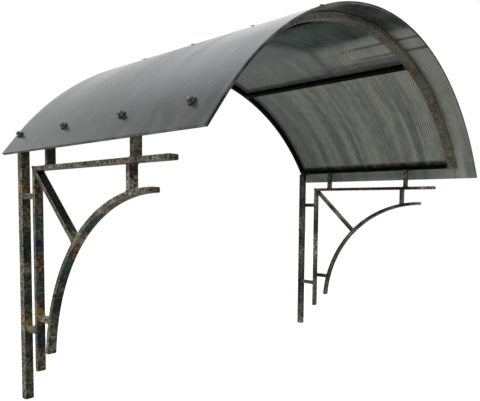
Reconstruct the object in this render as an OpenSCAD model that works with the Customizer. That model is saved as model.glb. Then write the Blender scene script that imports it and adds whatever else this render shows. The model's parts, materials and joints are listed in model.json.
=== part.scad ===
// Arched door canopy: two wall brackets of flat steel tube carry a barrel-vault frame of square
// tube, and one twin-wall sheet is bent over it.
// Frame: X runs right along the wall, -Y out from the wall, Z up. The origin is on the wall plane,
// on the back face of the rear rib at its crest, halfway up the tube.

/* [Roof] */
// Centre-line radius of the two arched ribs
rib_r = 983; // [900:1:1200]
// Depth of the sheet from the wall to its front edge
sheet_depth = 1050; // [950:10:1300]
// Thickness of the sheet
sheet_t = 8; // [4:1:16]
// How far the sheet runs out past the front rib
front_overhang = 105; // [20:5:200]
// How far the long edges of the sheet hang below the eave rails
skirt = 42; // [10:1:90]
// Angle of the purlins from the crest of the vault
purlin_angle = 18.5; // [10:0.5:35]
// Clearance between the frame and the sheet that lies on it
sheet_seat = 0.3; // [0.1:0.1:1]

/* [Tubes] */
// Width of the square tube of the vault frame and the stubs
tube = 20; // [15:1:25]
// Width of the flat bracket tube, across the bracket
bar_w = 30; // [25:1:35]
// Depth of the flat bracket tube, in the plane of the bracket
bar_d = 15; // [10:1:20]
// Width of the wall posts
post_w = 30; // [28:1:40]
// Depth of the wall posts
post_d = 30; // [25:1:35]
// Wall of the square and flat tubes
tube_wall = 1.5; // [1:0.25:2.5]
// Wall of the posts
post_wall = 2; // [1:0.25:3]

/* [Brackets] */
// Distance between the centres of the two brackets
post_spacing = 1600; // [1300:10:1700]
// Clear height between the arm and the eave rail
arm_gap = 86; // [60:1:140]
// How far the post reaches below the top of the arm
post_drop = 826; // [760:1:1100]
// Distance from the wall to the back of the upright
upright_back = 113; // [80:1:140]
// How far the upright reaches below the top of the arm
upright_drop = 702; // [670:1:740]
// Distance from the wall to the front end of the arm
arm_reach = 858; // [830:1:920]
// Distance from the wall to the back of the rear strut
rear_strut_back = 208; // [150:1:400]
// Distance from the wall to the back of the front strut
front_strut_back = 692; // [600:1:780]
// Distance from the wall to the back of the drop strut
drop_strut_back = 673; // [600:1:760]
// Depth of the centres of the upper stubs below the top of the arm
upper_stub_drop = 100; // [60:1:300]
// Height of the centres of the lower stubs above the foot of the upright
lower_stub_up = 134; // [60:1:300]
// Height of the centres of the arc stubs above the foot of the arc brace
arc_stub_up = 108; // [30:1:200]
// Slope of the diagonals below level
diagonal_angle = 42; // [35:1:50]

/* [Arc brace] */
// Centre-line radius of the arc brace
arc_r = 590; // [540:1:620]
// Clear gap between the upright and the circle that the arc brace follows
arc_gap = 61.5; // [40:0.5:100]
// Depth of the crown of the arc below the top of the arm
arc_crown_drop = 87; // [70:1:120]
// Angle at which the arc starts, above the level of its centre
arc_foot_angle = 5; // [0:1:12]
// Angle at which the arc ends, near its crown
arc_head_angle = 89.5; // [85:0.5:100]

/* [Fastening] */
// Diameter of the anchor holes through the posts
anchor_d = 9; // [6:0.5:14]
// Height of the lower anchor holes above the end of the post
anchor_up = 40; // [25:1:80]
// Distance between the upper and lower anchor holes
anchor_rise = 720; // [400:10:780]

/* [End caps] */
// Thickness of a cap at its middle
cap_t = 4; // [2:0.5:8]
// Thickness of a cap at its corners
cap_edge = 1.5; // [1:0.25:2]
// How far the plug of a cap reaches into the tube
cap_plug = 8; // [5:1:20]
// Clearance between the plug and the tube
cap_fit = 0.2; // [0.1:0.05:0.5]

/* [Hidden] */

$fn = 96;
steel = "#4a4638";
sheet_grey = "#8a8f90";
cap_black = "#4b473d";
left = -1;
right = 1;
over = 1;
big = 2000;
// Degrees by which the two halves of the sheet run into each other at the crest
crest_lap = 1;

// Sections, each as [across, deep]
square_size = [tube, tube];
bar_size = [bar_w, bar_d];
post_size = [post_w, post_d];

// Vault
frame_r = rib_r + tube / 2;
sheet_r = frame_r + sheet_seat;
rail_top = sqrt(pow(frame_r, 2) - pow(post_spacing / 2 + tube / 2, 2)) - rib_r;
rail_foot = rail_top - tube;
rail_angle = asin((post_spacing / 2 + tube / 2) / frame_r);
skirt_height = (sheet_r + sheet_t) * cos(rail_angle) - (rail_foot - skirt + rib_r);
skirt_length = skirt_height / sin(rail_angle);
front_rib_back = sheet_depth - front_overhang - tube;
purlin_r = sqrt(pow(frame_r, 2) - pow(tube / 2, 2)) - tube / 2;

// Brackets
arm_top = rail_foot - arm_gap;
arm_foot = arm_top - bar_d;
post_foot = arm_top - post_drop;
upright_front = upright_back + bar_d;
upright_foot = arm_top - upright_drop;
lower_stub_z = upright_foot + lower_stub_up;

// Arc brace
arc_outer_r = arc_r + bar_d / 2;
arc_centre_out = upright_front + arc_gap + arc_outer_r;
arc_y = -arc_centre_out;
arc_z = arm_top - arc_crown_drop - arc_r;
arc_stub_z = arc_z + arc_r * sin(arc_foot_angle) + arc_stub_up;

// The section of a tube, centred on the origin
module tube_section(size, wall) {
    difference() {
        square(size, center = true);
        square([size[0] - 2 * wall, size[1] - 2 * wall], center = true);
    }
}

// A straight tube that starts at the origin and runs up
module straight_tube(size, wall, length) {
    linear_extrude(length)
        tube_section(size, wall);
}

// A tube from one height to another, with its back at a distance from the wall
module tube_up(size, wall, back, foot, top) {
    translate([0, -back - size[1] / 2, foot])
        straight_tube(size, wall, top - foot);
}

// A tube from one distance off the wall to another, with its top at a height
module tube_out(size, wall, top, start, reach) {
    translate([0, -start, top - size[1] / 2])
        rotate([90, 0, 0])
            straight_tube(size, wall, reach - start);
}

// Everything turned so that a turn about Z becomes a turn about the vault's axis, from +X to +Z
module about_vault_axis() {
    translate([0, 0, -rib_r])
        rotate([90, 0, 0])
            children();
}

// Everything turned so that a turn about Z becomes a turn about the arc's centre, from the wall up
module about_arc_centre() {
    translate([0, arc_y, arc_z])
        rotate([90, 0, 90])
            children();
}

module on_bracket(side) {
    translate([side * post_spacing / 2, 0, 0])
        children();
}

// ---- roof ----

// The sheet is bent from rail to rail, and its free edges run on straight past the rails
module roof_sheet() {
    color(sheet_grey)
        about_vault_axis()
            for (side = [0, 1])
                mirror([side, 0, 0])
                    rotate([0, 0, -rail_angle]) {
                        rotate([0, 0, 90])
                            rotate_extrude(angle = rail_angle + crest_lap, $fn = 180)
                                translate([sheet_r, 0])
                                    square([sheet_t, sheet_depth]);
                        translate([0, sheet_r, 0])
                            cube([skirt_length, sheet_t, sheet_depth]);
                    }
}

// An arched rib, sawn off level with the underside of the eave rails
module rib(back) {
    color(steel)
        difference() {
            about_vault_axis()
                rotate_extrude(angle = 180, $fn = 180)
                    translate([rib_r, back + tube / 2])
                        tube_section(square_size, tube_wall);
            translate([-big, -big, rail_foot - big])
                cube([2 * big, 2 * big, big]);
        }
}

module rear_rib() {
    rib(0);
}

module front_rib() {
    rib(front_rib_back);
}

module eave_rail() {
    color(steel)
        tube_out(square_size, tube_wall, rail_top, tube, front_rib_back);
}

module purlin(side) {
    color(steel)
        translate([0, 0, -rib_r])
            rotate([0, side * purlin_angle, 0])
                tube_out(square_size, tube_wall, purlin_r + tube / 2, tube, front_rib_back);
}

// ---- bracket ----

// The half of space above the mitre where the arm turns down into the upright
module above_mitre() {
    translate([-big / 2, -upright_back, arm_top])
        rotate([45, 0, 0])
            translate([0, -big / 2, 0])
                cube(big);
}

module below_mitre() {
    translate([-big / 2, -upright_back, arm_top])
        rotate([45, 0, 0])
            translate([0, -big / 2, -big])
                cube(big);
}

// The solid cylinder that the arc brace wraps, to cope what is welded onto it
module arc_cope() {
    about_arc_centre()
        cylinder(r = arc_outer_r, h = 2 * bar_w, center = true, $fn = 180);
}

module anchor_hole(height) {
    translate([0, over, height])
        rotate([90, 0, 0])
            cylinder(d = anchor_d, h = post_d + 2 * over);
}

module post() {
    color(steel)
        difference() {
            tube_up(post_size, post_wall, 0, post_foot, rail_foot);
            anchor_hole(post_foot + anchor_up);
            anchor_hole(post_foot + anchor_up + anchor_rise);
        }
}

module upright() {
    color(steel)
        difference() {
            tube_up(bar_size, tube_wall, upright_back, upright_foot, arm_top + over);
            above_mitre();
        }
}

module arm() {
    color(steel)
        difference() {
            tube_out(bar_size, tube_wall, arm_top, upright_back - over, arm_reach);
            below_mitre();
        }
}

module arc_brace() {
    color(steel)
        about_arc_centre()
            rotate([0, 0, arc_foot_angle])
                rotate_extrude(angle = arc_head_angle - arc_foot_angle, $fn = 180)
                    translate([arc_r, 0])
                        tube_section([bar_d, bar_w], tube_wall);
}

// Runs down from the inner corner of arm and upright and is coped onto the arc brace
module diagonal() {
    color(steel)
        difference() {
            translate([0, -upright_front, arm_foot])
                rotate([90 + diagonal_angle, 0, 0])
                    translate([0, 0, -bar_w])
                        straight_tube(bar_size, tube_wall, arc_r);
            arc_cope();
            translate([-bar_w, -upright_front, arm_foot - big])
                cube([2 * bar_w, big, 2 * big]);
            translate([-bar_w, -big, arm_foot])
                cube([2 * bar_w, 2 * big, big]);
        }
}

module drop_strut() {
    color(steel)
        difference() {
            tube_up(bar_size, tube_wall, drop_strut_back, arc_z, arm_foot);
            arc_cope();
        }
}

module upper_strut(back) {
    color(steel)
        tube_up(bar_size, tube_wall, back, arm_top, rail_foot);
}

module wall_stub(height) {
    color(steel)
        tube_out(square_size, tube_wall, height + tube / 2, post_d, upright_back);
}

module arc_stub() {
    color(steel)
        difference() {
            tube_out(square_size, tube_wall, arc_stub_z + tube / 2, upright_front, arc_centre_out);
            arc_cope();
        }
}

// ---- end caps ----

// A domed plastic cap under the open lower end of a tube at the origin
module end_cap(size, wall) {
    half_diagonal = norm(size) / 2;
    rise = cap_t - cap_edge;
    dome_r = (pow(half_diagonal, 2) + pow(rise, 2)) / (2 * rise);
    plug_gap = 2 * (wall + cap_fit);
    color(cap_black) {
        intersection() {
            translate([-size[0] / 2, -size[1] / 2, -cap_t])
                cube([size[0], size[1], cap_t]);
            translate([0, 0, dome_r - cap_t])
                sphere(r = dome_r);
        }
        straight_tube([size[0] - plug_gap, size[1] - plug_gap], wall, cap_plug);
    }
}

module post_cap() {
    translate([0, -post_d / 2, post_foot])
        end_cap(post_size, post_wall);
}

module upright_cap() {
    translate([0, -upright_back - bar_d / 2, upright_foot])
        end_cap(bar_size, tube_wall);
}

module arm_cap() {
    translate([0, -arm_reach, arm_top - bar_d / 2])
        rotate([-90, 0, 0])
            end_cap(bar_size, tube_wall);
}

module arc_foot_cap() {
    about_arc_centre()
        rotate([0, 0, arc_foot_angle])
            translate([arc_r, 0, 0])
                rotate([-90, 0, 0])
                    end_cap([bar_d, bar_w], tube_wall);
}

module arc_head_cap() {
    about_arc_centre()
        rotate([0, 0, arc_head_angle])
            translate([arc_r, 0, 0])
                rotate([90, 0, 0])
                    end_cap([bar_d, bar_w], tube_wall);
}

roof_sheet();
rear_rib();
front_rib();
on_bracket(left) eave_rail();  // left_eave_rail
on_bracket(right) eave_rail();  // right_eave_rail
purlin(left);  // left_purlin
purlin(right);  // right_purlin
on_bracket(left) post();  // left_post
on_bracket(right) post();  // right_post
on_bracket(left) upright();  // left_upright
on_bracket(right) upright();  // right_upright
on_bracket(left) arm();  // left_arm
on_bracket(right) arm();  // right_arm
on_bracket(left) arc_brace();  // left_arc_brace
on_bracket(right) arc_brace();  // right_arc_brace
on_bracket(left) diagonal();  // left_diagonal
on_bracket(right) diagonal();  // right_diagonal
on_bracket(left) drop_strut();  // left_drop_strut
on_bracket(right) drop_strut();  // right_drop_strut
on_bracket(left) upper_strut(front_strut_back);  // left_front_strut
on_bracket(right) upper_strut(front_strut_back);  // right_front_strut
on_bracket(left) upper_strut(rear_strut_back);  // left_rear_strut
on_bracket(right) upper_strut(rear_strut_back);  // right_rear_strut
on_bracket(left) wall_stub(arm_top - upper_stub_drop);  // left_upper_stub
on_bracket(right) wall_stub(arm_top - upper_stub_drop);  // right_upper_stub
on_bracket(left) wall_stub(lower_stub_z);  // left_lower_stub
on_bracket(right) wall_stub(lower_stub_z);  // right_lower_stub
on_bracket(left) arc_stub();  // left_arc_stub
on_bracket(right) arc_stub();  // right_arc_stub
on_bracket(left) post_cap();  // left_post_cap
on_bracket(right) post_cap();  // right_post_cap
on_bracket(left) upright_cap();  // left_upright_cap
on_bracket(right) upright_cap();  // right_upright_cap
on_bracket(left) arm_cap();  // left_arm_cap
on_bracket(right) arm_cap();  // right_arm_cap
on_bracket(left) arc_foot_cap();  // left_arc_foot_cap
on_bracket(right) arc_foot_cap();  // right_arc_foot_cap
on_bracket(left) arc_head_cap();  // left_arc_head_cap
on_bracket(right) arc_head_cap();  // right_arc_head_cap
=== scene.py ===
import json
import math

import bpy
from mathutils import Matrix, Vector


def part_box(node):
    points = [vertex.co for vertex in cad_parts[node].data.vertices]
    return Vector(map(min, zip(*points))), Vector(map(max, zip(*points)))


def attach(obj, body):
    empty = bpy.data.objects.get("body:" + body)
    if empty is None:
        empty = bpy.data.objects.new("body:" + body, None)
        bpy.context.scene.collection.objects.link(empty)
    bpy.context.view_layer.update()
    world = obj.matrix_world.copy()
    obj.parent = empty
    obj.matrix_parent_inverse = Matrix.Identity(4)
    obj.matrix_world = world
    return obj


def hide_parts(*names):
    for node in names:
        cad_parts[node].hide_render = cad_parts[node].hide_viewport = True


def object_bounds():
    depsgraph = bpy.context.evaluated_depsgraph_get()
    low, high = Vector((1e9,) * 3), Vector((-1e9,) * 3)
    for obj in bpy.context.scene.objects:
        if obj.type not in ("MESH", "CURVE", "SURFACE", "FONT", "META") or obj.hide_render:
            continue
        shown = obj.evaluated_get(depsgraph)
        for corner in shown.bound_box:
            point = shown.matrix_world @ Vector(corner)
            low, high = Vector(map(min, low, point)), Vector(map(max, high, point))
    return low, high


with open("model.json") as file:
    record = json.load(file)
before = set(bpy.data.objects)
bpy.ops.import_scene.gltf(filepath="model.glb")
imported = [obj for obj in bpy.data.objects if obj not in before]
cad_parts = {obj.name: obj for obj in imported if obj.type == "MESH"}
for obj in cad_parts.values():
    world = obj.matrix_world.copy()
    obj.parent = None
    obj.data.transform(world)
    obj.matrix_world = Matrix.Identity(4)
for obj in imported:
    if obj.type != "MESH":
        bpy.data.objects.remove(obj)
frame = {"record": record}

cad_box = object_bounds()

# ---- Camera ----
# Left of the canopy and in front of it, about level with the upper part of the brackets, looking in
# along the vault and slightly down.
camera_data = bpy.data.cameras.new("camera")
camera_data.sensor_width = 36
camera_data.lens = 36.284
camera_data.shift_x, camera_data.shift_y = -0.12724, 0.084565
camera = bpy.data.objects.new("camera", camera_data)
bpy.context.scene.collection.objects.link(camera)
bpy.context.scene.camera = camera

camera_place = (-1.5484, -1.8446, -0.6494)
heading, tilt, lean = math.radians(51.998), math.radians(-3.585), math.radians(0.95)
camera.matrix_world = (
    Matrix.Translation(camera_place) @ Matrix.Rotation(-heading, 4, "Z")
    @ Matrix.Rotation(math.pi / 2 + tilt, 4, "X") @ Matrix.Rotation(lean, 4, "Z")
)

# ---- Stage: floor, sky and lamp ----
# A pale floor at ground level, about a metre below the feet of the posts, a white surround, and
# one large soft lamp up on the left. The gloss mirrors the white surround and not the lamp.


def feed(node, inputs):
    """Each input of a node is a value, a colour or the output of another node."""
    for socket, value in inputs.items():
        if isinstance(value, bpy.types.NodeSocket):
            node.id_data.links.new(value, node.inputs[socket])
        else:
            node.inputs[socket].default_value = (*value, 1) if isinstance(value, tuple) else value


def add_node(tree, kind, inputs=None, **settings):
    """A shader node with its settings made before its inputs."""
    node = tree.nodes.new("ShaderNode" + kind)
    for setting, value in settings.items():
        setattr(node, setting, value)
    feed(node, inputs or {})
    return node


scene = bpy.context.scene
scene.view_settings.view_transform = "Standard"

floor_drop, floor_reach = 1.05, 30
floor_grey, floor_glow = (0.62, 0.62, 0.61), 0.8
floor_level = cad_box[0].z - floor_drop
floor_mesh = bpy.data.meshes.new("floor")
floor_mesh.from_pydata([(x * floor_reach, y * floor_reach, floor_level)
                        for x, y in ((-1, -1), (1, -1), (1, 1), (-1, 1))], [], [(0, 1, 2, 3)])
floor = bpy.data.objects.new("floor", floor_mesh)
scene.collection.objects.link(floor)
floor_paint = bpy.data.materials.new("pale_floor")
floor_paint.use_nodes = True
tree = floor_paint.node_tree
tree.nodes.clear()
seen = add_node(tree, "LightPath").outputs["Is Camera Ray"]
glow_level = add_node(tree, "Math", {0: seen, 1: floor_glow}, operation="MULTIPLY")
glow = add_node(tree, "Emission", {"Strength": glow_level.outputs[0]})
matte = add_node(tree, "BsdfDiffuse", {"Color": floor_grey})
matte_and_glow = add_node(tree, "AddShader", {0: matte.outputs[0], 1: glow.outputs[0]})
add_node(tree, "OutputMaterial", {"Surface": matte_and_glow.outputs[0]})
floor_mesh.materials.append(floor_paint)

sky_light, sky_seen = 0.65, 1.0
sky = bpy.data.worlds.new("white_surround")
scene.world = sky
sky.use_nodes = True
tree = sky.node_tree
tree.nodes.clear()
path = add_node(tree, "LightPath").outputs
shown = path["Is Camera Ray"]
for ray in ("Is Glossy Ray", "Is Transmission Ray"):
    shown = add_node(tree, "Math", {0: shown, 1: path[ray]}, operation="MAXIMUM").outputs[0]
strength = add_node(tree, "MapRange", {"Value": shown, "To Min": sky_light, "To Max": sky_seen})
white = add_node(tree, "Background", {"Color": (1, 1, 1), "Strength": strength.outputs["Result"]})
add_node(tree, "OutputWorld", {"Surface": white.outputs[0]})

lamp_data = bpy.data.lights.new("soft_lamp", "AREA")
lamp_data.shape = "DISK"
lamp_data.size = 3.0
lamp_data.energy = 190
lamp = bpy.data.objects.new("soft_lamp", lamp_data)
lamp.location = (-3.6, -0.6, 2.6)
lamp_aim = Vector((0, -0.5, -0.5)) - Vector(lamp.location)
lamp.rotation_euler = lamp_aim.to_track_quat("-Z", "Y").to_euler()
lamp.visible_glossy = False
scene.collection.objects.link(lamp)

# ---- Wall posts ----
# Two 30 x 30 mm welded steel tubes, drilled through for the wall anchors and painted with a dark
# olive antique paint that is dabbed over with ochre, green, blue and plum and rubbed at the corners.

TONES = {
    "pitch": (0.0035, 0.0035, 0.003), "soot": (0.014, 0.015, 0.012), "olive": (0.062, 0.06, 0.034),
    "moss": (0.088, 0.082, 0.036), "sand": (0.15, 0.132, 0.085), "ochre": (0.18, 0.1, 0.022),
    "rust": (0.11, 0.052, 0.03), "brown": (0.062, 0.044, 0.028), "plum": (0.034, 0.022, 0.036),
    "ink": (0.01, 0.014, 0.027), "green": (0.007, 0.04, 0.019), "slate": (0.014, 0.03, 0.052),
    "forest": (0.005, 0.018, 0.008), "teal": (0.02, 0.046, 0.036), "stone": (0.115, 0.114, 0.088),
    "umber": (0.074, 0.067, 0.047), "chalk": (0.185, 0.183, 0.16), "russet": (0.09, 0.058, 0.04),
    "lichen": (0.28, 0.3, 0.19),
}
RUBBED = (0.26, 0.24, 0.17)


def reckon(operation, *values):
    """A reckoning with node outputs and numbers, of which at least one is a node output."""
    tree = next(value.id_data for value in values if isinstance(value, bpy.types.NodeSocket))
    return add_node(tree, "Math", dict(enumerate(values)), operation=operation).outputs[0]


def product(first, *others):
    for other in others:
        first = reckon("MULTIPLY", first, other)
    return first


def spread(value, low, high, to_low=0.0, to_high=1.0, how="LINEAR"):
    """A value stretched from one range to another, and held within it."""
    inputs = {"Value": value, "From Min": low, "From Max": high, "To Min": to_low, "To Max": to_high}
    return add_node(value.id_data, "MapRange", inputs, interpolation_type=how).outputs["Result"]


def blend(amount, first, second, mode="MIX"):
    """A first colour with an amount of a second one over it."""
    tree = (amount if isinstance(amount, bpy.types.NodeSocket) else first).id_data
    inputs = {"Factor": amount, "A": first, "B": second}
    return add_node(tree, "Mix", inputs, data_type="RGBA", blend_type=mode).outputs["Result"]


def noise(place, scale, detail, rough=0.5):
    inputs = {"Vector": place, "Scale": scale, "Detail": detail, "Roughness": rough}
    return add_node(place.id_data, "TexNoise", inputs).outputs["Fac"]


def shader_group(name, inputs):
    """A new shader group and its named inputs, with the values that they start from."""
    group = bpy.data.node_groups.new(name, "ShaderNodeTree")
    for socket, value in inputs.items():
        kind = "NodeSocketColor" if isinstance(value, tuple) else "NodeSocketFloat"
        made = group.interface.new_socket(socket, in_out="INPUT", socket_type=kind)
        made.default_value = (*value, 1) if isinstance(value, tuple) else value
    return group, group.nodes.new("NodeGroupInput").outputs


def put_out(group, outputs):
    """Gives a shader group its named outputs."""
    for socket, value in outputs.items():
        kind = "NodeSocketColor" if value.type == "RGBA" else "NodeSocketFloat"
        group.interface.new_socket(socket, in_out="OUTPUT", socket_type=kind)
    feed(group.nodes.new("NodeGroupOutput"), outputs)


def new_finish(name):
    """A new material, its node tree and its shader."""
    material = bpy.data.materials.new(name)
    material.use_nodes = True
    return material, material.node_tree, material.node_tree.nodes["Principled BSDF"]


def antique_group():
    """The shader group of the antique paint: a tone in, and its mottled colour, roughness and relief out."""
    group, given = shader_group("antique_paint", {
        "Tone": TONES["stone"], "Corner": 0.0, "Rubbed Colour": RUBBED, "Mottle": 1.0, "Lit Side": 0.0,
        "Painted Light": 0.5,
    })
    mottle, rubbed = given["Mottle"], given["Rubbed Colour"]
    place = add_node(group, "TexCoord").outputs

    def cloud(scale, detail, low, high, rough=0.6):
        return spread(noise(place["Object"], scale, detail, rough), low, high)

    # Painted light: the faces that point to the lit side are made lighter, towards a light stone colour.
    facing = add_node(group, "SeparateXYZ", {"Vector": place["Normal"]}).outputs["X"]
    lit_faces = spread(product(facing, given["Lit Side"]), 0.6, 0.8)
    lit_side_light = product(lit_faces, cloud(60, 3, 0.34, 0.52), given["Painted Light"])
    tone = blend(lit_side_light, given["Tone"], (0.132, 0.129, 0.092))
    soot = product(cloud(38, 5, 0.47, 0.55, 0.62), mottle, 0.88)
    colour = blend(soot, tone, (0.13, 0.13, 0.13), "MULTIPLY")
    three_times = blend(1.0, blend(1.0, tone, tone, "ADD"), tone, "ADD")
    flecks = cloud(105, 4, 0.52, 0.58, 0.65)
    colour = blend(product(flecks, mottle, 0.55), colour, three_times)
    glints = cloud(260, 3, 0.6, 0.68, 0.7)
    colour = blend(product(glints, mottle, 0.4), colour, rubbed)
    pits = cloud(120, 3, 0.56, 0.62, 0.5)
    colour = blend(product(pits, mottle, 0.85), colour, (0.005, 0.005, 0.0045))
    rub = product(given["Corner"], cloud(90, 3, 0.36, 0.56, 0.7), 0.75)
    colour = blend(rub, colour, rubbed)
    hammer = add_node(group, "TexVoronoi", {"Vector": place["Object"], "Scale": 190}, feature="SMOOTH_F1")
    relief = reckon("ADD", product(hammer.outputs["Distance"], 0.6), product(flecks, 0.5))
    sheen = spread(cloud(120, 3, 0.4, 0.6), 0.0, 1.0, 0.36, 0.62)
    put_out(group, {"Color": colour, "Roughness": sheen, "Height": relief})
    return group


antique = antique_group()


def antique_paint(name, dabs, lit_side=0.0, mottle=1.0, rubbed=RUBBED, gloss=0.16, painted_light=0.5):
    """Antique paint whose dabs of tone follow one another from the start of a tube to its end.
    It is painted lighter on the faces that point to the lit side, as painted light; the lit side is -1 for
    left and 1 for right."""
    material, tree, shader = new_finish(name)
    along, corner = (add_node(tree, "Attribute", attribute_name=mark_name).outputs["Fac"]
                     for mark_name in ("along", "corner"))
    place = add_node(tree, "TexCoord").outputs["Object"]
    ragged = reckon("MULTIPLY_ADD", noise(place, 45, 4), 0.12, -0.06)
    tones = add_node(tree, "ValToRGB", {"Fac": reckon("ADD", along, ragged)})
    tones.color_ramp.interpolation = "EASE"
    stops = tones.color_ramp.elements
    while len(stops) < len(dabs):
        stops.new(0.5)
    for stop, (position, tone) in zip(stops, sorted(dabs)):
        stop.position = position
        stop.color = (*TONES[tone], 1)
    paint = add_node(tree, "Group", {
        "Tone": tones.outputs["Color"], "Corner": corner, "Mottle": mottle, "Rubbed Colour": rubbed,
        "Lit Side": lit_side, "Painted Light": painted_light,
    }, node_tree=antique).outputs
    bump = add_node(tree, "Bump", {"Strength": 0.5, "Distance": 0.0006, "Height": paint["Height"]})
    feed(shader, {"Base Color": paint["Color"], "Roughness": paint["Roughness"],
                  "Normal": bump.outputs["Normal"], "Specular IOR Level": gloss})
    return material


def tube_outline(across, deep, corner):
    """A rounded rectangle as (across, deep, how far round a corner) points, anticlockwise."""
    outline = []
    corner_steps = 5
    for right, top, start in ((1, 1, 0), (-1, 1, 90), (-1, -1, 180), (1, -1, 270)):
        for k in range(corner_steps + 1):
            angle = math.radians(start + 90 * k / corner_steps)
            outline.append((right * (across / 2 - corner) + corner * math.cos(angle),
                            top * (deep / 2 - corner) + corner * math.sin(angle),
                            math.sin(math.pi * k / corner_steps)))
    return outline


def to_plane(point, normal):
    """A saw cut: how far along a line from p, in direction d, a plane lies."""
    point, normal = Vector(point), Vector(normal)
    return lambda p, d: (point - p).dot(normal) / d.dot(normal)


def smooth_piece(name, points, faces, materials):
    """A finished piece: its mesh is smooth round the bends and sharp at the cut ends."""
    mesh = bpy.data.meshes.new(name)
    mesh.from_pydata(points, [], faces)
    mesh.update()
    mesh.polygons.foreach_set("use_smooth", [True] * len(mesh.polygons))
    mesh.set_sharp_from_angle(angle=math.radians(35))
    for material in materials:
        mesh.materials.append(material)
    piece = bpy.data.objects.new(name, mesh)
    scene.collection.objects.link(piece)
    even = piece.modifiers.new("even_shading", "WEIGHTED_NORMAL")
    even.keep_sharp = True
    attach(piece, "root")
    return piece


def mark(piece, name, values):
    """A value at each point of a piece, which its paint reads."""
    piece.data.attributes.new(name, "FLOAT", "POINT").data.foreach_set("value", values)


def ring_faces(first, second, count, flip=False):
    """The band of faces between two rings of points, given by where each ring starts."""
    band = []
    for i in range(count):
        j = (i + 1) % count
        quad = (first + i, first + j, second + j, second + i)
        band.append(quad[::-1] if flip else quad)
    return band


def sleeve_faces(first, rings, count, flip=False):
    """The faces along a row of rings of points, which follow one another."""
    return [face for start in range(first, first + (rings - 1) * count, count)
            for face in ring_faces(start, start + count, count, flip)]


rims = {}
tube_ends = {}


def steel_tube(name, stations, section, paint, first_cut=None, last_cut=None):
    """A tube through stations of (centre, across direction, deep direction), with both ends cut to fit.
    A section is (across, deep, corner, wall). The edges of the two ends are kept in rims for the weld
    beads, and their places in tube_ends for the caps."""
    across, deep, corner, wall = section
    outer = tube_outline(across, deep, corner)
    inner = tube_outline(across - 2 * wall, deep - 2 * wall, corner - wall)
    count, last = len(outer), len(stations) - 1
    points, along, corners = [], [], []
    centres = [Vector(station[0]) for station in stations]
    travel = [0.0]
    for a, b in zip(centres, centres[1:]):
        travel.append(travel[-1] + (b - a).length)
    for outline in (outer, inner):
        for k, (_, side, back) in enumerate(stations):
            side, back = Vector(side), Vector(back)
            ahead = (centres[min(k + 1, last)] - centres[max(k - 1, 0)]).normalized()
            cut = {0: first_cut, last: last_cut}.get(k)
            for u, v, round_corner in outline:
                p = centres[k] + side * u + back * v
                if cut:
                    p = p + ahead * cut(p, ahead)
                points.append(p)
                along.append(travel[k] / travel[-1])
                corners.append(round_corner)
    bore = len(stations) * count
    faces = sleeve_faces(0, last + 1, count) + sleeve_faces(bore, last + 1, count, True)
    faces += ring_faces(0, bore, count)
    faces += ring_faces(last * count, bore + last * count, count, True)
    piece = smooth_piece(name, points, faces, [paint])
    mark(piece, "along", along)
    mark(piece, "corner", corners)
    for end, k, inside in (("first", 0, 1), ("last", last, last - 1)):
        side, back = Vector(stations[k][1]), Vector(stations[k][2])
        outward = (centres[k] - centres[inside]).normalized()
        tube_ends[name, end] = (centres[k], side, back, outward)
        rims[name, end] = [(points[k * count + i], (side * u + back * v).normalized(), outward)
                           for i, (u, v, _) in enumerate(outer)]
    return piece


def straight(start, stop, side, back):
    return [(start, side, back), (stop, side, back)]


X, Y, Z = Vector((1, 0, 0)), Vector((0, 1, 0)), Vector((0, 0, 1))
# The lit side of each bracket and post is its outer face, which its paint makes lighter as painted light.
LIT_SIDES = {"left": -1.0, "right": 1.0}
post_painted_light = 0.78
post_dabs = {
    "left": [
        (0, "soot"), (0.03, "olive"), (0.05, "moss"), (0.1, "olive"), (0.14, "olive"), (0.16, "ink"),
        (0.2, "brown"), (0.24, "soot"), (0.275, "moss"), (0.3, "ochre"), (0.33, "ochre"), (0.35, "moss"),
        (0.38, "ink"), (0.41, "plum"), (0.44, "olive"), (0.475, "green"), (0.5, "olive"), (0.52, "sand"),
        (0.545, "rust"), (0.57, "forest"), (0.64, "forest"), (0.68, "olive"), (0.72, "olive"),
        (0.76, "brown"), (0.8, "soot"), (0.825, "ochre"), (0.845, "brown"), (0.87, "olive"),
        (0.94, "olive"), (1, "soot")
    ],
    "right": [
        (0, "chalk"), (0.05, "chalk"), (0.06, "soot"), (0.08, "stone"), (0.15, "olive"), (0.28, "soot"),
        (0.38, "olive"), (0.48, "stone"), (0.55, "ink"), (0.62, "olive"), (0.7, "stone"), (0.8, "soot"),
        (0.88, "olive"), (1, "soot")
    ],
}
post_width, post_corner = 0.03, 0.003
post_section = (post_width, post_width, post_corner, 0.002)


def middle_of(node):
    low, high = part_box(node)
    return (low + high) / 2


def standing(node):
    """The line of a tube that stands up where its CAD node does."""
    low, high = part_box(node)
    x, y, _ = (low + high) / 2
    return straight((x, y, low.z), (x, y, high.z), X, Y)


def circle(radius, sides, turn=0.0):
    """Points round a circle, given by their two distances from its centre."""
    angles = [turn + 2 * math.pi * k / sides for k in range(sides)]
    return [(math.cos(angle) * radius, math.sin(angle) * radius) for angle in angles]


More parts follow.
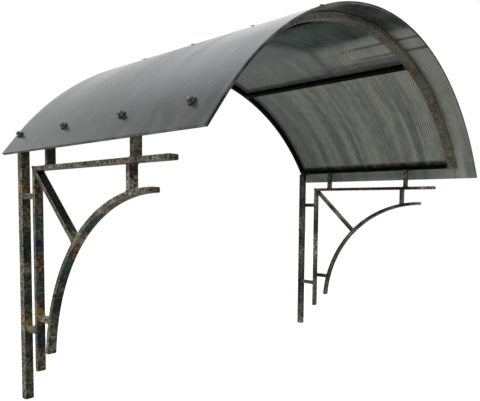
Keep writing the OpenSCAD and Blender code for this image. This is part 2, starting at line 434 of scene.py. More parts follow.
# The drill is a plain round rod, cut out of the posts at the heights of the anchors.
drill_r, drill_sides, drill_ends = 0.0045, 24, (-0.06, 0.03)
drill_mesh = bpy.data.meshes.new("anchor_drill")
drill_mesh.from_pydata([(x, y, z) for y in drill_ends for x, z in circle(drill_r, drill_sides)], [],
                       ring_faces(0, drill_sides, drill_sides)
                       + [tuple(range(drill_sides - 1, -1, -1)), tuple(range(drill_sides, 2 * drill_sides))])
drill = bpy.data.objects.new("anchor_drill", drill_mesh)
scene.collection.objects.link(drill)
anchor_mount = next(m for m in frame["record"]["mounts"] if m["name"] == "wall_anchors")
anchor_rise = anchor_mount["dims"]["spacing_y_mm"] / 1000
anchor_heights = [anchor_mount["pos_m"][2] + k * anchor_rise / 2 for k in (-1, 1)]
for side, lit_side in LIT_SIDES.items():
    node = f"{side}_post"
    low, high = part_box(node)
    at = middle_of(node)
    post = steel_tube(f"{side}_wall_post", standing(node), post_section,
                      antique_paint(f"{side}_post_paint", post_dabs[side], lit_side, painted_light=post_painted_light))
    for height in anchor_heights:
        drill.location = (at.x, 0, height)
        cut = post.modifiers.new("anchor_hole", "BOOLEAN")
        cut.object = drill
        cut.solver = "EXACT"
        bpy.context.view_layer.update()
        drilled = bpy.data.meshes.new_from_object(post.evaluated_get(bpy.context.evaluated_depsgraph_get()))
        post.modifiers.remove(cut)
        post.data = drilled
    # The cut gives the points around a hole no marks of their own, so all are marked again.
    spots = [v.co for v in post.data.vertices]
    flat = post_width / 2 - post_corner
    rounding = [[max(0.0, abs(offset) - flat) / post_corner for offset in (p.x - at.x, p.y - at.y)]
                for p in spots]
    for name, values in (("along", [(p.z - low.z) / (high.z - low.z) for p in spots]),
                         ("corner", [min(2 * a * b, 1.0) for a, b in rounding])):
        post.data.attributes[name].data.foreach_set("value", values)
    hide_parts(node)
bpy.data.objects.remove(drill)

# ---- Brackets ----
# The arm and the upright of each bracket are one flat 30 x 15 mm tube, mitred at the corner. A bent
# tube runs under them as an arc brace, held by a diagonal, a drop strut and three short stubs.

bar_paint = {
    "left_upright": [
        (0, "moss"), (0.03, "umber"), (0.08, "moss"), (0.12, "soot"), (0.17, "ink"), (0.22, "soot"),
        (0.27, "ochre"), (0.31, "ochre"), (0.35, "plum"), (0.39, "olive"), (0.44, "green"),
        (0.49, "olive"), (0.55, "rust"), (0.59, "olive"), (0.62, "slate"), (0.65, "ink"), (0.67, "teal"),
        (0.7, "olive"), (0.75, "green"), (0.8, "olive"), (0.87, "brown"), (0.94, "rust"), (1, "brown")
    ],
    "right_upright": [
        (0, "stone"), (0.08, "sand"), (0.2, "stone"), (0.32, "olive"), (0.4, "sand"), (0.47, "lichen"),
        (0.58, "lichen"), (0.64, "soot"), (0.74, "soot"), (0.84, "stone"), (1, "chalk")
    ],
    "left_arm": [
        (0, "brown"), (0.08, "rust"), (0.14, "sand"), (0.24, "stone"), (0.36, "olive"), (0.46, "moss"),
        (0.56, "moss"), (0.66, "olive"), (0.75, "rust"), (0.79, "russet"), (0.82, "soot"),
        (0.86, "teal"), (0.9, "sand"), (0.94, "moss"), (1, "olive")
    ],
    "right_arm": [
        (0, "sand"), (0.1, "rust"), (0.25, "soot"), (0.4, "brown"), (0.48, "rust"), (0.56, "soot"),
        (0.68, "pitch"), (0.83, "pitch"), (0.87, "stone"), (0.92, "lichen"), (1, "lichen")
    ],
    "left_arc_brace": [
        (0, "rust"), (0.04, "stone"), (0.12, "olive"), (0.2, "soot"), (0.27, "olive"), (0.32, "green"),
        (0.4, "green"), (0.46, "rust"), (0.51, "sand"), (0.57, "stone"), (0.61, "green"),
        (0.66, "green"), (0.71, "sand"), (0.78, "olive"), (0.86, "moss"), (0.95, "umber"), (1, "brown")
    ],
    "right_arc_brace": [
        (0, "stone"), (0.06, "stone"), (0.14, "soot"), (0.22, "moss"), (0.3, "umber"), (0.38, "rust"),
        (0.46, "sand"), (0.54, "stone"), (0.57, "pitch"), (0.62, "stone"), (0.68, "olive"),
        (0.74, "soot"), (0.8, "olive"), (0.84, "chalk"), (0.87, "pitch"), (0.92, "soot"),
        (0.96, "chalk"), (1, "lichen")
    ],
    "left_diagonal": [(0, "pitch"), (0.6, "pitch"), (0.82, "soot"), (0.92, "olive"), (1, "sand")],
    "right_diagonal": [
        (0, "soot"), (0.1, "sand"), (0.22, "chalk"), (0.34, "ochre"), (0.44, "pitch"), (0.54, "sand"),
        (0.66, "lichen"), (0.8, "olive"), (0.92, "pitch"), (1, "pitch")
    ],
    "left_drop_strut": [
        (0, "olive"), (0.15, "soot"), (0.36, "plum"), (0.5, "sand"), (0.75, "chalk"), (1, "chalk")
    ],
    "right_drop_strut": [(0, "soot"), (0.5, "stone"), (1, "stone")],
    "left_front_strut": [(0, "moss"), (0.35, "sand"), (0.6, "moss"), (1, "sand")],
    "right_front_strut": [(0, "pitch"), (0.3, "stone"), (0.5, "moss"), (0.65, "sand"), (1, "umber")],
    "left_rear_strut": [(0, "brown"), (0.3, "soot"), (1, "soot")],
    "right_rear_strut": [(0, "sand"), (0.5, "teal"), (1, "olive")],
    "left_upper_stub": [(0, "pitch"), (1, "soot")],
    "right_upper_stub": [(0, "soot"), (1, "soot")],
    "left_lower_stub": [(0, "moss"), (0.5, "moss"), (1, "olive")],
    "right_lower_stub": [(0, "sand"), (1, "moss")],
    "left_arc_stub": [(0, "sand"), (1, "umber")],
    "right_arc_stub": [(0, "soot"), (1, "olive")],
}
bar_deep, bar_corner, bar_wall = 0.015, 0.0024, 0.0015
bar_section = (0.03, bar_deep, bar_corner, bar_wall)
square = 0.02
square_section = (square, square, bar_corner, bar_wall)
foot_angle, head_angle, arc_steps = math.radians(5), math.radians(89.5), 60
slope, diagonal_run, drop_spare = math.radians(42), 0.3, 0.02


def to_round(centre_y, centre_z, radius):
    """A cope: how far along a line from p, in direction d, the near side of a cylinder along X lies."""
    def reach(p, d):
        a = d.y * d.y + d.z * d.z
        b = 2 * ((p.y - centre_y) * d.y + (p.z - centre_z) * d.z)
        c = (p.y - centre_y) ** 2 + (p.z - centre_z) ** 2 - radius * radius
        return (-b - math.sqrt(b * b - 4 * a * c)) / (2 * a)
    return reach


for side, lit_side in LIT_SIDES.items():
    def bracket_tube(part, new_name, line, section=bar_section, first_cut=None, last_cut=None):
        """One tube of this bracket, in the place of its CAD node."""
        node = f"{side}_{part}"
        piece = steel_tube(f"{side}_{new_name}", line, section,
                           antique_paint(f"{node}_paint", bar_paint[node], lit_side), first_cut, last_cut)
        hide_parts(node)

    arm_low, arm_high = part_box(f"{side}_arm")
    up_low, up_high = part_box(f"{side}_upright")
    x = (arm_low.x + arm_high.x) / 2
    up_y, arm_z = up_high.y - bar_deep / 2, arm_high.z - bar_deep / 2
    mitre = to_plane((x, up_high.y, arm_high.z), (0, -1, 1))
    bracket_tube("upright", "bracket_upright", straight((x, up_y, up_low.z), (x, up_y, arm_high.z), X, Y),
                 last_cut=mitre)
    bracket_tube("arm", "bracket_arm", straight((x, up_high.y, arm_z), (x, arm_low.y, arm_z), X, Z),
                 first_cut=mitre)

    # The circle of the arc brace follows from the top of its head end and the back of its foot end.
    arc_low, arc_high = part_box(f"{side}_arc_brace")
    arc_outer_r = ((arc_high.y - arc_low.y - bar_deep * math.cos(head_angle))
                   / (math.cos(foot_angle) - math.cos(head_angle)))
    arc_centre = Vector((x, arc_high.y - arc_outer_r * math.cos(foot_angle), arc_high.z - arc_outer_r))
    stations = []
    for k in range(arc_steps + 1):
        angle = foot_angle + (head_angle - foot_angle) * k / arc_steps
        outward = Vector((0, math.cos(angle), math.sin(angle)))
        stations.append((arc_centre + outward * (arc_outer_r - bar_deep / 2), X, -outward))
    bracket_tube("arc_brace", "bent_arc_brace", stations)
    cope = to_round(arc_centre.y, arc_centre.z, arc_outer_r)

    # The diagonal starts in the corner under the arm, where it is cut to both tubes.
    corner_point = Vector((x, up_low.y, arm_low.z))
    down = Vector((0, -math.cos(slope), -math.sin(slope)))
    under = Vector((0, math.sin(slope), -math.cos(slope)))
    to_upright, to_arm = to_plane(corner_point, Y), to_plane(corner_point, Z)
    bracket_tube("diagonal", "diagonal_brace",
                 straight(corner_point, corner_point + down * diagonal_run, X, under),
                 first_cut=lambda p, d: max(to_upright(p, d), to_arm(p, d)), last_cut=cope)

    drop_low, drop_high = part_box(f"{side}_drop_strut")
    drop_y = (drop_low.y + drop_high.y) / 2
    bracket_tube("drop_strut", "arc_drop_strut",
                 straight((x, drop_y, drop_high.z), (x, drop_y, drop_low.z + drop_spare), X, -Y),
                 last_cut=cope)
    for part in ("front", "rear"):
        bracket_tube(f"{part}_strut", f"{part}_rail_strut", standing(f"{side}_{part}_strut"))
    for part, last_cut in (("upper_stub", None), ("lower_stub", None), ("arc_stub", cope)):
        low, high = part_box(f"{side}_{part}")
        z = (low.z + high.z) / 2
        bracket_tube(part, f"{part}_tube", straight((x, high.y, z), (x, low.y, z), X, Z), square_section,
                     last_cut=last_cut)

# ---- End caps ----
# Steel plugs with a low domed top, pushed into the open ends of the posts, uprights, arms and arc
# braces, tacked and painted over with the tubes.

cap_thick, cap_plug, cap_play = 0.004, 0.008, 0.0002
cap_edge_r, cap_edge_high, cap_edge_steps, cap_dome = 0.0058, 0.0034, 5, 0.0003
crown_inset, rounder, cap_rub = 0.44, 0.8, 0.002


def domed_cap(name, end, section, paint):
    """A cap on the end of a tube: a plug inside it, a rim flush with it and a rounded, slightly domed top."""
    centre, side, back, outward = end
    across, deep, corner, wall = section
    rings = [(wall + cap_play, -cap_plug), (wall + cap_play, 0.0), (0.0, 0.0)]
    for k in range(cap_edge_steps + 1):
        angle = math.radians(90 * k / cap_edge_steps)
        rings.append((cap_edge_r * (1 - math.cos(angle)),
                      cap_thick - cap_dome - cap_edge_high * (1 - math.sin(angle))))
    rings.append((deep * crown_inset, cap_thick))
    points, corners = [], []
    for inset, height in rings:
        ring_corner = min(corner + inset * rounder, deep / 2 - inset - cap_play)
        for u, v, round_corner in tube_outline(across - 2 * inset, deep - 2 * inset, ring_corner):
            points.append(centre + side * u + back * v + outward * height)
            corners.append(round_corner if inset < cap_rub and height > 0 else 0.0)
    count = len(points) // len(rings)
    handed = side.cross(back).dot(outward) > 0
    faces = sleeve_faces(0, len(rings), count, not handed)
    for first, up in ((0, False), (len(points) - count, True)):
        loop = tuple(range(first, first + count))
        faces.append(loop if up == handed else loop[::-1])
    piece = smooth_piece(name, points, faces, [paint])
    mark(piece, "along", [0.5] * len(points))
    mark(piece, "corner", corners)
    return piece


cap_ends = {
    "post_cap": ("wall_post", "first", post_section, {"left": "umber", "right": "umber"}),
    "upright_cap": ("bracket_upright", "first", bar_section, {"left": "moss", "right": "moss"}),
    "arm_cap": ("bracket_arm", "last", bar_section, {"left": "olive", "right": "chalk"}),
    "arc_foot_cap": ("bent_arc_brace", "first", bar_section, {"left": "rust", "right": "stone"}),
    "arc_head_cap": ("bent_arc_brace", "last", bar_section, {"left": "brown", "right": "chalk"}),
}
for side, lit_side in LIT_SIDES.items():
    for part, (tube, end, section, tones) in cap_ends.items():
        node = f"{side}_{part}"
        paint = antique_paint(f"{node}_paint", [(0, tones[side]), (1, tones[side])], lit_side)
        cap = domed_cap(f"{side}_domed_{part}", tube_ends[f"{side}_{tube}", end], section, paint)
        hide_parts(node)

# ---- Vault frame ----
# A 20 mm square tube rolled to an arch against the wall and a 40 x 20 mm one near the front, joined by
# two eave rails and two purlins of 20 mm tube.

rib_low, rib_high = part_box("rear_rib")
rib_height = rib_high.z - rib_low.z
vault_r = (rib_high.x ** 2 + rib_height ** 2) / (2 * rib_height)
vault_axis = rib_high.z - vault_r
front_rib_wide = 0.04
front_rib_dabs = [
    (0, "olive"), (0.12, "sand"), (0.2, "stone"), (0.28, "chalk"), (0.38, "chalk"), (0.4, "stone"),
    (0.412, "rust"), (0.424, "stone"), (0.46, "umber"), (0.51, "stone"), (0.58, "sand"), (0.64, "stone"),
    (0.69, "russet"), (0.71, "stone"), (0.785, "sand"), (0.8, "russet"), (0.815, "stone"),
    (0.87, "sand"), (0.9, "stone"), (0.94, "sand"), (0.975, "stone"), (1, "sand")
]
PITCH_BLACK = [(0, "pitch"), (1, "pitch")]
# The shaded finish is near black, with almost no gloss and no light rubbing: dark paint, made darker as
# painted shade for the rear rib, rails and purlins, which lie in the shade of the sheet.
shaded = {"mottle": 0.4, "rubbed": (0.02, 0.02, 0.016), "gloss": 0.02}
worn = {"mottle": 0.45, "rubbed": (0.17, 0.16, 0.12)}
rib_limit, rib_steps = math.acos((rib_low.z - vault_axis) / vault_r), 96


def round_vault(angle):
    """Straight out of the vault at an angle from its crest, and onward round it."""
    return Vector((math.sin(angle), 0, math.cos(angle))), Vector((math.cos(angle), 0, -math.sin(angle)))


for node, wide, dabs, finish in (("rear_rib", square, PITCH_BLACK, shaded),
                                 ("front_rib", front_rib_wide, front_rib_dabs, worn)):
    axis_point = Vector((0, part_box(node)[1].y - wide / 2, vault_axis))
    stations = []
    for k in range(rib_steps + 1):
        outward, _ = round_vault(-rib_limit + 2 * rib_limit * k / rib_steps)
        stations.append((axis_point + outward * (vault_r - square / 2), outward, Y))
    sawn = to_plane((0, 0, rib_low.z), Z)
    rib = steel_tube(f"arched_{node}", stations, (square, wide, bar_corner, bar_wall),
                     antique_paint(f"{node}_paint", dabs, **finish), sawn, sawn)
    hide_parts(node)

for side in LIT_SIDES:
    for part, new_name in (("eave_rail", "rail"), ("purlin", "purlin")):
        node = f"{side}_{part}"
        low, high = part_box(node)
        at = middle_of(node)
        outward, onward = (Z, X) if part == "eave_rail" else round_vault(math.atan2(at.x, at.z - vault_axis))
        line = straight((at.x, high.y, at.z), (at.x, low.y, at.z), onward, outward)
        tube = steel_tube(f"{side}_{new_name}_tube", line, square_section,
                          antique_paint(f"{side}_{new_name}_paint", PITCH_BLACK, **shaded))
        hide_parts(node)

# ---- Weld beads ----
# The tubes are joined by small arc-welded beads with a rippled face, painted with the steel. They run
# round the foot of each strut, stub and brace and along the two mitres.

bead_r, bead_sides, bead_step, bead_sunk, bead_rub = 0.0021, 8, 0.0013, 0.25, 0.35
least_bead, ripple_high, ripple_rate, swell_high, swell_rate = 0.86, 0.22, 950, 0.1, 310
weld_paint_reach = 0.95


def weld_beads(name, welded, paint):
    """One piece with a rippled bead along the rim of each tube end that is named."""
    points, faces = [], []
    for tube_end in welded:
        rim = rims[tube_end]
        path = []
        for k, (here, normal, outward) in enumerate(rim):
            there = rim[(k + 1) % len(rim)][0]
            steps = max(1, round((there - here).length / bead_step))
            path += [(here.lerp(there, step / steps), normal, outward) for step in range(steps)]
        first = len(points)
        travel = 0.0
        for k, (spot, normal, outward) in enumerate(path):
            before, after = path[k - 1][0], path[(k + 1) % len(path)][0]
            travel += (spot - before).length if k else 0.0
            face_normal = (after - before).normalized().cross(outward).normalized()
            if face_normal.dot(normal) < 0:
                face_normal.negate()
            ripple = (least_bead + ripple_high * abs(math.sin(travel * ripple_rate))
                      + swell_high * math.sin(travel * swell_rate + first))
            for u, v in circle(bead_r * ripple, bead_sides):
                points.append(spot + face_normal * u - outward * (v + bead_r * bead_sunk))
        for k in range(len(path)):
            following = (k + 1) % len(path)
            faces += ring_faces(first + k * bead_sides, first + following * bead_sides, bead_sides)
    piece = smooth_piece(name, points, faces, [paint])
    mark(piece, "along", [min(max(-p.y / weld_paint_reach, 0.0), 1.0) for p in points])
    mark(piece, "corner", [bead_rub] * len(points))


weld_paint = antique_paint("weld_paint", [
    (0, "soot"), (0.25, "soot"), (0.5, "olive"), (0.7, "moss"), (0.85, "moss"), (1, "umber")
])
for side in LIT_SIDES:
    joints = [(f"{side}_bracket_upright", "last")]
    for tube in ("diagonal_brace", "arc_drop_strut", "front_rail_strut", "rear_rail_strut", "upper_stub_tube",
                 "lower_stub_tube", "arc_stub_tube"):
        joints += [(f"{side}_{tube}", "first"), (f"{side}_{tube}", "last")]
    weld_beads(f"{side}_bracket_weld_beads", joints, weld_paint)
joints = [(f"{side}_{tube}_tube", end) for side in LIT_SIDES for tube in ("rail", "purlin")
          for end in ("first", "last")]
weld_beads("vault_weld_beads", joints, weld_paint)

# ---- Twin-wall sheet ----
# One smoke grey 8 mm sheet of extruded polycarbonate, bent cold over the frame: two thin glossy skins
# with webs between them. Its flutes run round the vault and are open at the straight lower edges.

sheet_low, sheet_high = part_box("roof_sheet")
sheet_t, skin, web = 0.008, 0.0008, 0.0007
sheet_in = sheet_high.z - vault_axis - sheet_t
bend_end = math.asin(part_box("right_eave_rail")[1].x / vault_r)
free_edge = (sheet_in * math.cos(bend_end) + vault_axis - sheet_low.z) / math.sin(bend_end)
y_back, y_front = sheet_high.y, sheet_low.y
sawn_flute, flare, flute_fill_deep = 0.0038, 0.0007, 0.0008
flutes, bends, flats = 119, 72, 3
pitch = (y_back - y_front - 2 * sawn_flute - web) / flutes
web_front, web_back = y_front + sawn_flute, y_back - sawn_flute
OUTSIDE, UNDERSIDE, CUT_EDGE, WEBS, FLUTE_DUST_AND_LIGHT = range(5)

# Each station across the vault: a point on the inner face, the way out through the sheet, and how far
# round it lies from the crest.
vault_centre = Vector((0, 0, vault_axis))
skirt_run = [(bend_end, free_edge * (k + 1) / flats) for k in range(flats)]
stations = []
for angle, past in ([(-angle, -past) for angle, past in reversed(skirt_run)]
                    + [(-bend_end + 2 * bend_end * k / bends, 0.0) for k in range(bends + 1)] + skirt_run):
    outward, onward = round_vault(angle)
    stations.append((vault_centre + outward * sheet_in + onward * past, outward, angle * sheet_in + past))

points, faces, slots, rounds = [], [], [], []


def sheet_point(station, lift, y):
    inner, outward, reach = station
    points.append(inner + outward * lift + Y * y)
    rounds.append(reach)


def swept(line, material):
    """A run of section points, as (height over the inner face, y), carried round the vault."""
    first, n = len(points), len(line)
    for station in stations:
        for lift, y in line:
            sheet_point(station, lift, y)
    for k in range(len(stations) - 1):
        for i in range(n - 1):
            a = first + k * n + i
            faces.append((a, a + 1, a + n + 1, a + n))
            slots.append(material)


under_top = sheet_t - skin
swept([(sheet_t, y_front), (sheet_t, y_back)], OUTSIDE)
swept([(0.0, y_back), (0.0, y_front)], UNDERSIDE)
for edge, bottom, order in ((y_front, web_front, 1), (y_back, web_back, -1)):
    swept([(0.0, edge), (skin, edge)][::order], CUT_EDGE)
    swept([(skin, edge), (skin, bottom), (under_top, bottom), (under_top, edge)][::order], WEBS)
    swept([(under_top, edge), (sheet_t, edge)][::order], CUT_EDGE)
flute_sides = [(web_front + web + f * pitch, web_front + (f + 1) * pitch) for f in range(flutes)]
for y1, y2 in flute_sides:
    swept([(under_top, y1), (skin, y1), (skin, y2), (under_top, y2), (under_top, y1)], WEBS)
for station, flip in ((stations[0], True), (stations[-1], False)):
    inner, outward, reach = station
    strips = [(0.0, skin, y_front, web_front), (under_top, sheet_t, y_front, web_front),
              (0.0, skin, web_back, y_back), (under_top, sheet_t, web_back, y_back)]
    for f in range(flutes + 1):
        y1 = web_front + f * pitch
        strips.append((0.0, sheet_t, y1 - flare * (f > 0), y1 + web + flare * (f < flutes)))
        if f < flutes:
            opening = (y1 + web + flare, y1 + pitch - flare)
            strips += [(0.0, skin, *opening), (under_top, sheet_t, *opening)]
    _, onward = round_vault(math.copysign(bend_end, reach))
    # A light grey face a little inside each open flute end: partly dust, and partly painted light for the
    # light that comes into the flutes through the skins.
    flute_fill_station = (inner - onward * math.copysign(flute_fill_deep, reach), outward, reach)
    strips = [(station, CUT_EDGE, *strip) for strip in strips]
    strips += [(flute_fill_station, FLUTE_DUST_AND_LIGHT, skin, under_top, y1, y2) for y1, y2 in flute_sides]
    for place, slot, low_lift, high_lift, y1, y2 in strips:
        quad = tuple(range(len(points), len(points) + 4))
        for lift, y in ((low_lift, y1), (high_lift, y1), (high_lift, y2), (low_lift, y2)):
            sheet_point(place, lift, y)
        faces.append(quad[::-1] if flip else quad)
        slots.append(slot)


def streaks_group():
    """The shader group of the sheet's long marks, which follow the flutes, and of their place on it."""
    group, given = shader_group("flute_streaks", {"Band Width": 14.0, "Scratch Amount": 1.0})
    reach = add_node(group, "Attribute", attribute_name="round").outputs["Fac"]
    place = add_node(group, "TexCoord").outputs["Object"]
    depth = add_node(group, "SeparateXYZ", {"Vector": place}).outputs["Y"]

    def streaks(round_scale, across_scale, detail, low, high, start=0.0):
        unrolled = {"X": product(reach, round_scale), "Y": product(depth, across_scale), "Z": start}
        return spread(noise(add_node(group, "CombineXYZ", unrolled).outputs[0], 1, detail), low, high)

    between_webs = reckon("WRAP", reckon("SUBTRACT", depth, web_front + web / 2 - pitch / 2), pitch, 0.0)
    oblique = reckon("SUBTRACT", product(reach, 350.0), product(depth, 530.0))
    put_out(group, {
        "Bands": streaks(0.8, given["Band Width"], 4, 0.36, 0.64),
        "Runs": streaks(1.4, 36.0, 3, 0.53, 0.68, 13.0),
        "Scratches": product(streaks(3.0, 330.0, 2, 0.66, 0.76, 5.0), given["Scratch Amount"]),
        "Dust": streaks(16.0, 24.0, 5, 0.45, 0.7, 9.0),
        "Web Lines": reckon("COMPARE", between_webs, pitch / 2, 0.0009),
        "Grain": reckon("GREATER_THAN", reckon("SINE", oblique), 0.0),
        "Reach": reach,
        "Either Side": reckon("ABSOLUTE", reach),
        "Depth": depth,
    })
    return group


flute_streaks = streaks_group()


def sheet_plastic(name, ior, band_width=14.0, scratch=1.0):
    """A plain sheet material, its shader, and the flute marks beside it. The depth among them is Y, and
    the reach is the way round from the crest, negative on the left."""
    material, tree, shader = new_finish(name)
    shader.inputs["IOR"].default_value = ior
    marks = add_node(tree, "Group", {"Band Width": band_width, "Scratch Amount": scratch},
                     node_tree=flute_streaks)
    return material, shader, marks.outputs


def near(value, centre, width, soft=0.0001):
    """One where the value lies within a width of the centre, fading to nothing over the soft margin."""
    return spread(reckon("ABSOLUTE", reckon("SUBTRACT", value, centre)), width, width + soft, 1.0, 0.0)


def layered(tint, layers):
    """A tint with one colour after another laid over it, each by its own amount."""
    for amount, colour in layers:
        tint = blend(amount, tint, colour)
    return tint


def outer_skin():
    """Smoke grey, almost black by itself: its light greys are the surround, seen in its gloss, and a painted
    reflection of it towards the front and up near the crest, with painted highlight lines over the front rib
    and just inside the front edge.
    """
    material, shader, marks = sheet_plastic("sheet_outer_face", 1.31, 11.0)
    reach, depth = marks["Reach"], marks["Depth"]
    # Painted reflection of the bright surround: lighter towards the front above the low left edge, and much
    # lighter further up at the front.
    front_painted_reflection = product(spread(depth, -0.45, -0.85), spread(reach, -0.95, -0.78), 0.75)
    crest_painted_reflection = product(spread(depth, -0.7, -1.0), spread(reach, -0.68, -0.54))
    # A painted highlight line along the sheet over the front rib, and a faint one just inside the front edge.
    rib_line_highlight = product(near(depth, front_rib_y, 0.0014), spread(reach, -0.93, -0.72, 0.0, 0.4))
    front_edge_highlight = product(near(depth, y_front + 0.0125, 0.0012), 0.1)
    tint = layered(blend(marks["Bands"], (0.008, 0.013, 0.011), (0.026, 0.034, 0.031)), [
        (front_painted_reflection, (0.115, 0.135, 0.145)),
        (crest_painted_reflection, (0.3, 0.32, 0.32)),
        (product(marks["Web Lines"], 0.35), (0.008, 0.009, 0.009)),
        (product(marks["Dust"], 0.18), (0.11, 0.115, 0.11)),
        (product(marks["Scratches"], 0.5), (0.24, 0.25, 0.25)),
        (rib_line_highlight, (0.26, 0.27, 0.27)),
        (front_edge_highlight, (0.25, 0.26, 0.26)),
    ])
    feed(shader, {"Base Color": tint, "Roughness": spread(marks["Bands"], 0.0, 1.0, 0.17, 0.27)})
    return material


def inner_skin():
    """The underside: a little light comes through it, painted into its colour, more on the skirts and in a
    patch towards the front. Painted shade lies under the crest and by the wall, and the sheet is darker
    between the purlins towards the wall. Between the two ribs a near-black painted shadow runs along the
    rails, with painted shade above the purlins and a darker olive line below them, and two painted shadow
    lines run towards the front."""
    material, shader, marks = sheet_plastic("sheet_inner_face", 1.5, 15.0, 0.7)
    reach, along, depth = marks["Either Side"], marks["Reach"], marks["Depth"]
    tint = blend(marks["Bands"], (0.165, 0.177, 0.156), (0.44, 0.442, 0.386))
    tint = blend(product(marks["Runs"], 0.75), tint, (0.52, 0.52, 0.455))
    # Painted shade by the wall: darker towards the back.
    tint = blend(spread(depth, -0.01, -0.66, 0.22, 1.0), (0.036, 0.052, 0.046), tint)
    # Darker between the purlins, from the middle of the depth back towards the wall.
    above_purlin = spread(reach, purlin_reach + 0.01, purlin_reach - 0.01)
    tint = blend(product(spread(depth, -0.74, -0.46), above_purlin, 0.55), tint, (0.044, 0.056, 0.05))
    # Painted shade under the crest, its edge broken up by the dust marks.
    off_crest = spread(near(along, -0.13, 0.16, 0.12), 1.0, 0.0, how="SMOOTHSTEP")
    lower = product(off_crest, spread(marks["Dust"], 0.0, 0.3, 0.75, 1.0))
    tint = blend(lower, blend(marks["Bands"], (0.016, 0.034, 0.033), (0.05, 0.082, 0.076)), tint)
    # A painted patch of light towards the front, between the crest and the purlin.
    painted_light_patch = product(spread(depth, -0.7, -0.84), spread(along, 0.055, 0.085),
                      spread(along, 0.62, 0.36), 0.6)
    # Two painted shadow lines towards the front, parallel to the purlins.
    painted_shadow_lines = [product(near(along, shadow_line_reach, 0.005, 0.007), spread(depth, -0.7, -0.78), 0.8)
             for shadow_line_reach in (0.143, 0.228)]
    overhang = spread(depth, front_rib_y + 0.01, front_rib_y - 0.03)
    # Painted shade under the crest of the overhang, in front of the front rib.
    overhang_crest_shade = product(overhang, near(along, -0.15, 0.13, 0.11), 0.95)
    grain = product(spread(depth, -0.3, -0.8, 0.25, 0.56), spread(reach, 0.05, 0.55, 0.6, 1.0),
                    spread(overhang, 0.0, 1.0, 1.0, 0.75))
    framed = spread(depth, front_rib_y - 0.002, front_rib_y + 0.002)
    ragged = product(spread(marks["Dust"], 0.0, 0.5, 0.45, 1.0), framed)
    # Painted light through the skirt below each rail: lighter and greener.
    skirt = product(spread(reach, rail_reach, rail_reach + 0.004), framed, 0.6)
    # A near-black painted shadow along each rail where it meets the sheet, with a ragged edge.
    rail_contact_shadow = product(near(reach, rail_reach - 0.01, 0.009, 0.015), ragged, 0.95)
    shade = product(near(reach, purlin_reach - 0.042, 0.03, 0.01), spread(depth, -0.1, -0.8), framed, 0.8)
    # A darker olive line along the lower side of each purlin, with a ragged edge.
    below_purlin_line = product(near(reach, purlin_reach + 0.014, 0.006, 0.01), ragged, 0.6)
    tint = layered(tint, [
        (painted_light_patch, (0.33, 0.338, 0.302)),
        # the painted shadow lines, darker
        *[(dent, (0.026, 0.032, 0.029)) for dent in painted_shadow_lines],
        (overhang_crest_shade, (0.006, 0.02, 0.02)),
        (product(marks["Grain"], grain), (0.046, 0.056, 0.05)),
        (skirt, (0.23, 0.3, 0.25)),
        (rail_contact_shadow, (0.003, 0.006, 0.006)),
        (shade, (0.052, 0.053, 0.052)),
        (below_purlin_line, (0.05, 0.052, 0.034)),
        (product(marks["Web Lines"], 0.25), (0.03, 0.034, 0.03)),
        (product(marks["Dust"], 0.2), (0.15, 0.15, 0.125)),
        (product(marks["Scratches"], 0.45), (0.34, 0.34, 0.3)),
    ])
    feed(shader, {"Base Color": tint, "Roughness": spread(marks["Bands"], 0.0, 1.0, 0.1, 0.2)})
    return material


def cut_edge(name, dark, light, amount):
    """A sawn or inside face of the sheet, with more or less dust on it."""
    material, shader, marks = sheet_plastic(name, 1.45)
    tint = blend(product(spread(marks["Dust"], 0.0, 0.6), amount), dark, light)
    feed(shader, {"Base Color": tint, "Roughness": spread(marks["Bands"], 0.0, 1.0, 0.3, 0.45)})
    return material


front_rib_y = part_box("front_rib")[1].y - front_rib_wide / 2
purlin_at = middle_of("right_purlin")
purlin_lean = math.atan2(purlin_at.x, purlin_at.z - vault_axis)
purlin_reach, rail_reach = purlin_lean * sheet_in, bend_end * sheet_in
sheet = smooth_piece("twin_wall_sheet", points, faces, [
    outer_skin(), inner_skin(),
    cut_edge("sheet_cut_edge", (0.012, 0.014, 0.014), (0.05, 0.055, 0.05), 0.8),
    cut_edge("sheet_webs", (0.03, 0.035, 0.033), (0.16, 0.17, 0.16), 0.9),
    cut_edge("flute_dust_and_light", (0.18, 0.2, 0.19), (0.34, 0.36, 0.33), 1.0)])
sheet.data.polygons.foreach_set("material_index", slots)
mark(sheet, "round", rounds)
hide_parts("roof_sheet")

# ---- Roof screws ----
# Sixteen self-drilling hexagon screws hold the sheet down on the rails and purlins. Each one presses
# a rubber washer under a domed steel cup.


def tarnish_group():
    """The shader group of tarnish and dust: a dark tone with small lighter specks, and their relief."""
    group, given = shader_group("tarnish", {
        "Tone": (0.008, 0.007, 0.006), "Speck Colour": (0.33, 0.31, 0.28), "Roughness": 0.34,
    })
    specks = noise(add_node(group, "TexCoord").outputs["Object"], 420, 4)
    put_out(group, {
        "Color": blend(spread(specks, 0.49, 0.62), given["Tone"], given["Speck Colour"]),
        "Roughness": reckon("ADD", given["Roughness"], spread(specks, 0.0, 1.0, -0.08, 0.12)),
        "Height": specks,
    })
    return group


tarnish = tarnish_group()


def fastener_finish(name, tone, speck_colour, metallic, rough):
    """Tarnished metal or dusty rubber."""
    material, tree, shader = new_finish(name)
    look = add_node(tree, "Group", {"Tone": tone, "Speck Colour": speck_colour, "Roughness": rough},
                    node_tree=tarnish).outputs
    dent = add_node(tree, "Bump", {"Strength": 0.3, "Distance": 0.0002, "Height": look["Height"]})
    feed(shader, {"Base Color": look["Color"], "Metallic": metallic, "Roughness": look["Roughness"],
                  "Normal": dent.outputs["Normal"]})
    return material


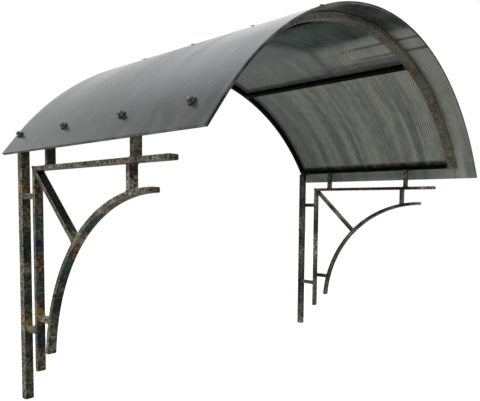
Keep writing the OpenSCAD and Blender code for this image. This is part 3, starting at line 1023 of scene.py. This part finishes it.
def fastener(name, base, outward, around, layers):
    """A screw or bolt in one piece. Each layer is turned round its axis: a finish, (radius, height) steps,
    a number of sides and a turn."""
    finishes = list(dict.fromkeys(layer[0] for layer in layers))
    across = outward.cross(around)
    points, faces, slots = [], [], []
    for finish, steps, sides, turn in layers:
        first, faces_before = len(points), len(faces)
        for radius, height in steps:
            for u, v in circle(radius, sides, turn):
                points.append(base + outward * height + around * u + across * v)
        faces += sleeve_faces(first, len(steps), sides)
        faces.append(tuple(range(first + sides - 1, first - 1, -1)))
        faces.append(tuple(range(len(points) - sides, len(points))))
        slots += [finishes.index(finish)] * (len(faces) - faces_before)
    piece = smooth_piece(name, points, faces, finishes)
    piece.data.polygons.foreach_set("material_index", slots)


washer_rubber = fastener_finish("washer_rubber", (0.003, 0.003, 0.003), (0.012, 0.012, 0.011), 0.0, 0.75)
screw_steel = fastener_finish("screw_steel", (0.008, 0.007, 0.006), (0.33, 0.31, 0.28), 0.4, 0.34)
rubber = [(0.003, 0.0), (0.0122, 0.0), (0.013, 0.0009), (0.0122, 0.0026), (0.01, 0.0036), (0.003, 0.0038)]
cup = [(0.003, 0.0036), (0.0088, 0.0034), (0.009, 0.0042), (0.008, 0.0052), (0.003, 0.0056)]
head = [(0.003, 0.0054), (0.008, 0.0055), (0.008, 0.0118), (0.007, 0.0134), (0.004, 0.0142), (0.0015, 0.0144)]
shank = [(0.0012, -0.02), (0.0026, -0.016), (0.0026, 0.0054)]
screws_back = (0.035, 0.346, 0.662, 0.95)
ROUND, HEXAGON, shank_sides = 28, 6, 12
for row, angle in (("left_rail", -bend_end), ("left_purlin", -purlin_lean),
                   ("right_purlin", purlin_lean), ("right_rail", bend_end)):
    outward, _ = round_vault(angle)
    for number, back in enumerate(screws_back, 1):
        base = Vector((0, -back, vault_axis)) + outward * (sheet_in + sheet_t)
        tightened = 0.7 * number + 2.1 * angle
        fastener(f"{row}_screw_{number}", base, outward, Y, [
            (washer_rubber, rubber, ROUND, 0),
            (screw_steel, cup, ROUND, 0),
            (screw_steel, head, HEXAGON, tightened),
            (screw_steel, shank, shank_sides, 0),
        ])

# ---- Wall anchors ----
# Four M8 hexagon bolts of dull steel, with plain washers, run through the drilled posts into the wall,
# two to a post.

anchor_steel = fastener_finish("anchor_steel", (0.006, 0.006, 0.005), (0.075, 0.062, 0.045), 0.0, 0.5)
flat_washer = [(0.0042, 0.0), (0.008, 0.0), (0.008, 0.0013), (0.0076, 0.0016), (0.0042, 0.0016)]
bolt_head = [(0.003, 0.0016), (0.0066, 0.0017), (0.0075, 0.0024), (0.0075, 0.0062), (0.0066, 0.007),
             (0.0025, 0.0071)]
bolt_shank = [(0.004, -0.0248), (0.004, 0.0016)]
bolt_turn, bolt_shank_sides = 0.4, 16
for side in LIT_SIDES:
    for place, height in zip(("lower", "upper"), anchor_heights):
        base = Vector((middle_of(f"{side}_post").x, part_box(f"{side}_post")[0].y, height))
        fastener(f"{side}_{place}_anchor_bolt", base, -Y, X, [
            (anchor_steel, flat_washer, ROUND, 0),
            (anchor_steel, bolt_head, HEXAGON, bolt_turn),
            (anchor_steel, bolt_shank, bolt_shank_sides, 0),
        ])
